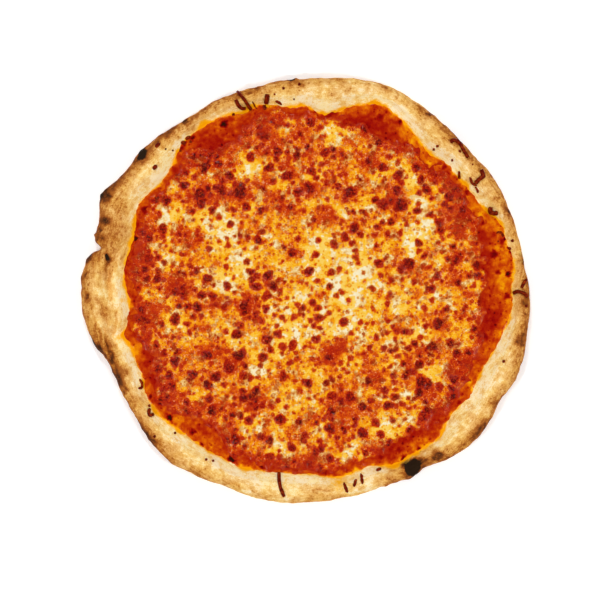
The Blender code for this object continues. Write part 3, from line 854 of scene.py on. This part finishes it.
def make_cheese(sauce_tree, dough_tree):
    """The cheese: a sheet over the sauce, with a blistered top and a border that thins out raggedly."""
    reach = cheese_edge()
    widest = reach.max() + 4
    line = np.arange(-widest, widest, CHEESE_PITCH)
    x, y = (grid.ravel() for grid in np.meshgrid(line, line, indexing="ij"))
    r = np.hypot(x, y)
    level = np.stack([x, y, np.zeros_like(x)], axis=1)
    spots, dome = (grid.ravel() for grid in spot_fields(line, reach, level))
    inside = around(reach, x, y) - r
    to_sauce_edge = around(sauce_edge(), x, y) - r
    ragged = inside + mixed(level, 201, (6, 12), (4, 5))
    cover = step(ragged, -2.5, 8) * step(to_sauce_edge, 0.8, 4)
    window = np.zeros_like(x)
    for cx, cy, radius in WINDOWS:
        window = np.maximum(window, bell(np.hypot(x - cx, y - cy) + 2.5 * noise(level, 6, 203), radius))

    from_cad_edge = around(CHEESE_REACH, x, y) - r
    rim = 1 - step(from_cad_edge + mixed(level, 204, (3.5, 12), (2, 5)), -4.5, 3)
    pale = patches(x, y, PATCHES)
    crumb = layered(level, 2.3, 211, 2, 0.7)
    vein = 1 - np.abs(layered(level, 8, 221, 2)) * 1.6
    tone = (
        0.5 * noise(level, 18, 231)
        + (1 + 0.7 * rim) * mixed(level, 232, (0.58, 8), (0.42, 3.5))
        + 0.35 * crumb * (1 - 0.5 * window)
        - 1.5 * pale
        - 0.5 * np.clip(vein, -0.5, 1)
        + 0.65 * rim + 0.8 * window
        + 0.15 * step(r, 40, 125) - 0.32 * bell(r, 42)
        + spots * (1 - 0.3 * rim)
    )
    looks = {
        "browning": placed_among(tone, tone[r < SAMPLED_RADIUS]),
        "oily": 0.5 + 0.8 * layered(level, 9, 261, 3, 0.6) - 0.25 * pale,
        "bare": np.maximum(1 - step(ragged, 0, 7) * step(to_sauce_edge, 1, 6), 0.55 * window),
    }

    keep = (inside > -8) & (to_sauce_edge > 2)
    z = np.zeros_like(x)
    z[keep] = np.maximum(*(drop_onto(tree, x[keep], y[keep]) for tree in (sauce_tree, dough_tree)))
    z += 2 * cover * (1 - 0.45 * window) - 0.5
    z += cover * (mixed(level, 241, (0.3, 22), (0.25, 9), (0.14, 4)) + dome + 0.1 * crumb)
    border = np.minimum(reach + 8.5, sauce_edge() - 1.5)
    return cheese_solid(len(line), x, y, z, keep, border, dough_tree, **looks)


def cheese_solid(columns, x, y, z, keep, border, dough_tree, **fields):
    """The sheet from a square grid of points, of which some are kept. Its border is pulled onto `border` and
    down into the dough, and rings that follow the dough shut it underneath."""
    i, j = np.meshgrid(np.arange(columns - 1), np.arange(columns - 1), indexing="ij")
    a = (i * columns + j).ravel()
    cells = np.stack([a, a + columns, a + columns + 1, a + 1], axis=1)
    cells = cells[keep[cells].all(axis=1)]
    ends = np.concatenate([cells[:, [k, (k + 1) % 4]] for k in range(4)])
    keys = ends.min(axis=1) * len(x) + ends.max(axis=1)
    _, index, count = np.unique(keys, return_inverse=True, return_counts=True)
    rim_edges = ends[count[index] == 1]
    on_rim = np.unique(rim_edges)
    rim_x, rim_y = x[on_rim], y[on_rim]
    stretch = around(border, rim_x, rim_y) / np.hypot(rim_x, rim_y)
    rim_x, rim_y = rim_x * stretch, rim_y * stretch

    def ring(share):
        ring_x, ring_y = share * rim_x, share * rim_y
        return np.stack([ring_x, ring_y, drop_onto(dough_tree, ring_x, ring_y) - 0.4], axis=1)

    top = np.stack([x, y, z], axis=1)
    top[on_rim] = ring(1)
    used = np.unique(cells)
    renumber = np.full(len(x), -1)
    renumber[used] = np.arange(len(used))
    faces = [renumber[cells]]
    starts, finishes = renumber[rim_edges].T
    first, second = np.searchsorted(on_rim, rim_edges).T
    points, count = [top[used]], len(used)
    for share in (0.97, 0.92, 0.8, 0.4):
        points.append(ring(share))
        inner_start, inner_finish = count + first, count + second
        faces.append(np.stack([finishes, starts, inner_start, inner_finish], axis=1))
        starts, finishes = inner_start, inner_finish
        count += len(on_rim)
    points.append([[0, 0, points[-1][:, 2].mean()]])
    faces.append(np.stack([finishes, starts, np.full(len(starts), count)], axis=1))
    values = {k: np.append(v[used], np.full(count + 1 - len(used), 0.5)) for k, v in fields.items()}
    points = np.concatenate(points)
    return solid("cheese_sheet", points, faces, cheese_look(), "melted_cheese", ["melted_cheese"], **values)


# ---- strands ----

# Small strands and specks on the rim that the CAD model leaves out: half width, then each one's route.
SPECKS = (
    (1.15, ((-21, 138), (-19, 137.5), (-17.5, 136)), ((112.5, 86.5), (113, 82)),
     ((28.5, -140.5), (29.5, -143.5), (30.7, -146.4)), ((37, -138), (35.8, -142)),
     ((41, -134), (41.6, -140)), ((-120.5, -65), (-119, -68), (-119, -71), (-121, -71.3)),
     ((139, 41), (141, 43), (144, 42), (145, 39.5)), ((120.3, 82), (121.8, 78.5), (124.5, 76.5))),
    (1.5, ((53, -131), (54.5, -130.5)), ((-107.8, 105), (-106.4, 106.3)), ((-109.6, 88.8), (-108.4, 90.2))),
    (1.3, ((-29.8, 134.8), (-29.2, 132.8)), ((-86.5, 111.3), (-84.5, 112.5)),
     ((-89.5, 108.5), (-88, 107.5))),
    (1.05, ((-84, 108.5), (-83, 109)), ((-91, 102.5), (-91, 102)), ((124.5, 75), (126.3, 72)),
     ((149, 31), (150, 30.5)), ((143, 29), (143.5, 29)), ((151, 36), (151.5, 36.5)),
     ((141, 36), (141.4, 36)), ((161, -11), (161.3, -11.5)), ((144, -51.5), (144.6, -51.5)),
     ((-52.5, 128.8), (-52, 128.6)), ((-16, 147), (-15.5, 147)), ((-4.4, 150), (-4, 150)),
     ((-72, -123), (-71.5, -123)), ((-67, -124), (-66.6, -124)), ((-109.5, -106), (-109.2, -106.4)),
     ((-95, -104), (-94.6, -104)), ((96, 105), (96.5, 105)), ((94, 103), (94, 102.6)),
     ((112, 101), (112.6, 101)), ((107, 95), (107.3, 95)), ((-114, -84), (-113.5, -84.5))),
    (0.65, ((-38.2, 137.5), (-36.2, 134), (-33.5, 131.2)), ((-22.3, 142.9), (-22.1, 142.5)),
     ((-8, 139.6), (-8, 139.2)), ((121.7, 91.7), (122, 91.5)), ((-101.5, 102.9), (-101.2, 102.7)),
     ((-96.5, 102.2), (-96.2, 102))),
)


def strand_look():
    look = Look("baked_strand", 0.4, 0.05)
    look.colour(look.ramp(look.noise(1.8, 3, 0.6), STRAND_COLOURS))
    look.bump(look.noise(0.8), 0.2)
    return look.material


def make_strands():
    """Each CAD strand's mesh, its faces joined, swelled unevenly and let down onto the dough."""
    points, faces, start = [], [], 0
    for name in STRANDS:
        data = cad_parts[name].data
        loose = np.array([tuple(v.co / MM) for v in data.vertices])
        own, joined = np.unique(np.round(loose, 4), axis=0, return_inverse=True)
        joined = joined.ravel()
        outward = np.zeros_like(own)
        np.add.at(outward, joined, np.array([tuple(v.normal) for v in data.vertices]))
        outward /= np.maximum(np.linalg.norm(outward, axis=1), 1e-6)[:, None]
        own += outward * (0.38 + 0.28 * noise(own, 3, 301))[:, None]
        points.append(own)
        faces.append(joined[np.array([tuple(p.vertices) for p in data.polygons])] + start)
        start += len(own)
    points = np.concatenate(points) - [0, 0, 0.6]
    return solid("rim_strands", points, [np.concatenate(faces)], strand_look(), "baked_strand", STRANDS)


def along(route, count):
    """`count` points evenly spaced along a route, rounded at its corners."""
    route = np.array(route, float)
    lengths = np.concatenate([[0], np.cumsum(np.hypot(*np.diff(route, axis=0).T))])
    at = np.linspace(0, lengths[-1], count)
    line = np.stack([np.interp(at, lengths, axis) for axis in route.T], axis=1)
    for _ in range(3):
        line[1:-1] = (line[:-2] + 2 * line[1:-1] + line[2:]) / 4
    return line


def make_specks(dough_tree):
    """Bits of cheese too small for the CAD model: lumpy tubes with tapered ends, half sunk in the dough."""
    sections, sides = 14, 12
    turn = np.linspace(0, 2 * math.pi, sides, endpoint=False)
    points, quads, fans, start = [], [], [], 0
    for half_width, *routes in SPECKS:
        for route in routes:
            line = along(route, sections)
            heading = np.gradient(line, axis=0)
            heading /= np.maximum(np.hypot(*heading.T), 1e-6)[:, None]
            side = np.stack([-heading[:, 1], heading[:, 0]], axis=1)
            place = np.linspace(-1, 1, sections)
            width = half_width * np.sqrt(1 - 0.96 * place**4)
            line += heading * (half_width * 0.7 * place)[:, None]
            height = drop_onto(dough_tree, *line.T) + 0.15 * width
            own = np.empty((sections, sides, 3))
            own[:, :, :2] = line[:, None] + side[:, None] * (width[:, None] * np.cos(turn))[:, :, None]
            own[:, :, 2] = height[:, None] + 0.75 * width[:, None] * np.sin(turn)
            own = own.reshape(-1, 3)
            own += 0.3 * half_width * noise(own, 1.6, 311)[:, None] * np.array([1, 1, 0.5])
            ring, ends = ring_faces(sections, sides)
            first, last = own[:sides].mean(axis=0), own[-sides:].mean(axis=0)
            points += [own, [first, last]]
            quads.append(ring + start)
            fans.append(ends + start)
            start += len(own) + 2
    faces = [np.concatenate(quads), np.concatenate(fans)]
    return solid("rim_specks", np.concatenate(points), faces, strand_look(), "baked_strand")


# ---- stage ----

def make_stage():
    data = bpy.data.meshes.new("floor")
    half = 3
    corners = [(-half, -half, 0), (half, -half, 0), (half, half, 0), (-half, half, 0)]
    data.from_pydata(corners, [], [(0, 1, 2, 3)])
    floor = add_object("floor", data)
    floor.location.z = -0.0002
    look = bpy.data.materials.new("floor")
    look.use_nodes = True
    shader = look.node_tree.nodes["Principled BSDF"]
    shader.inputs["Base Color"].default_value = (0.9, 0.9, 0.9, 1)
    shader.inputs["Roughness"].default_value = 0.9
    shader.inputs["Emission Color"].default_value = (1, 1, 1, 1)
    shader.inputs["Emission Strength"].default_value = 0.28
    data.materials.append(look)

    world = bpy.data.worlds.new("sky")
    world.use_nodes = True
    world.node_tree.nodes["Background"].inputs["Color"].default_value = (1, 1, 1, 1)
    world.node_tree.nodes["Background"].inputs["Strength"].default_value = SKY_LIGHT
    bpy.context.scene.world = world

    for bearing in LAMP_BEARINGS:
        make_lamp(math.radians(bearing))


def make_lamp(bearing, distance=1.5, elevation=math.radians(52), size=0.2):
    light = bpy.data.lights.new("softbox", "AREA")
    light.shape = "DISK"
    light.size = size
    light.energy = LAMP_LIGHT * math.pi**2 * distance**2 / math.sin(elevation)
    lamp = add_object("softbox", light)
    flat = Vector((math.cos(bearing), math.sin(bearing), 0)) * math.cos(elevation)
    lamp.location = distance * (flat + Vector((0, 0, math.sin(elevation))))
    lamp.rotation_euler = (-lamp.location).to_track_quat("-Z", "Y").to_euler()


def make_camera():
    """Straight above, with the pizza a little right of the middle and above it, as it is framed."""
    frame_width, aim_x, aim_y = 438, -3.65, -6.9
    rim_top = box_mm("crust")[1].z
    camera = bpy.data.cameras.new("camera")
    camera.sensor_width, camera.lens = 36, 110
    placed = add_object("camera", camera)
    distance = frame_width * camera.lens / camera.sensor_width
    placed.location = (aim_x * MM, aim_y * MM, (distance + 0.45 * rim_top) * MM)
    bpy.context.scene.camera = placed
    bpy.context.scene.view_settings.view_transform = "Standard"


CRUST_REACH = outline("crust")
SAUCE_REACH = outline("tomato_sauce")
CHEESE_REACH = outline("melted_cheese", 2)

crust = make_crust()
dough_tree = surface_tree(crust)
sauce = make_sauce(dough_tree)
make_cheese(surface_tree(sauce), dough_tree)
make_strands()
make_specks(dough_tree)
make_stage()
make_camera()
